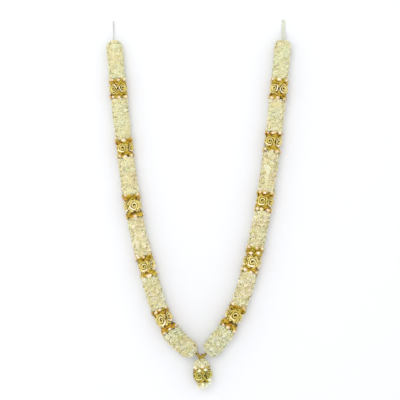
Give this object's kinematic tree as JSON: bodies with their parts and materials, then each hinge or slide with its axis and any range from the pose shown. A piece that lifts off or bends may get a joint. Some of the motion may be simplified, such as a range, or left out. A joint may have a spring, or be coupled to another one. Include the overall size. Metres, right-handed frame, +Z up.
{
  "type": "flower garland",
  "caption": "Open flower garland laid flat: cream floret strands with gold ribbon-rose bands meet in a point above a small rose pendant; thread and ribbon ends at the top.",
  "frame": {"origin": "middle of the garland's outline without its loose thread and ribbon ends, on the surface that it lies on", "axes": "+Y from the pendant to the open top, +X to the side with the ribbon, +Z up from the surface"},
  "size_m": [0.4082, 0.8148, 0.0417],
  "materials": {
    "cream": "matt ruffled florets",
    "gold": "satin gold ribbon",
    "thread": "matt cotton thread",
    "satin": "smooth satin ribbon"
  },
  "bodies": {
    "root": {"cream_left_1": "cream", "cream_left_2": "cream", "cream_left_3": "cream", "cream_left_4": "cream", "cream_left_5": "cream", "cream_left_6": "cream", "cream_right_1": "cream", "cream_right_2": "cream", "cream_right_3": "cream", "cream_right_4": "cream", "cream_right_5": "cream", "cream_right_6": "cream", "tuft_cream": "cream", "fringe_cream": "cream", "gold_left_1": "gold", "gold_left_2": "gold", "gold_left_3": "gold", "gold_left_4": "gold", "gold_left_5": "gold", "gold_right_1": "gold", "gold_right_2": "gold", "gold_right_3": "gold", "gold_right_4": "gold", "gold_right_5": "gold", "knot_gold": "gold", "pendant_gold": "gold", "thread_left": "thread", "thread_right": "thread", "thread_pendant": "thread", "tail_left": "thread", "ribbon_right": "satin"}
  },
  "joints": []
}
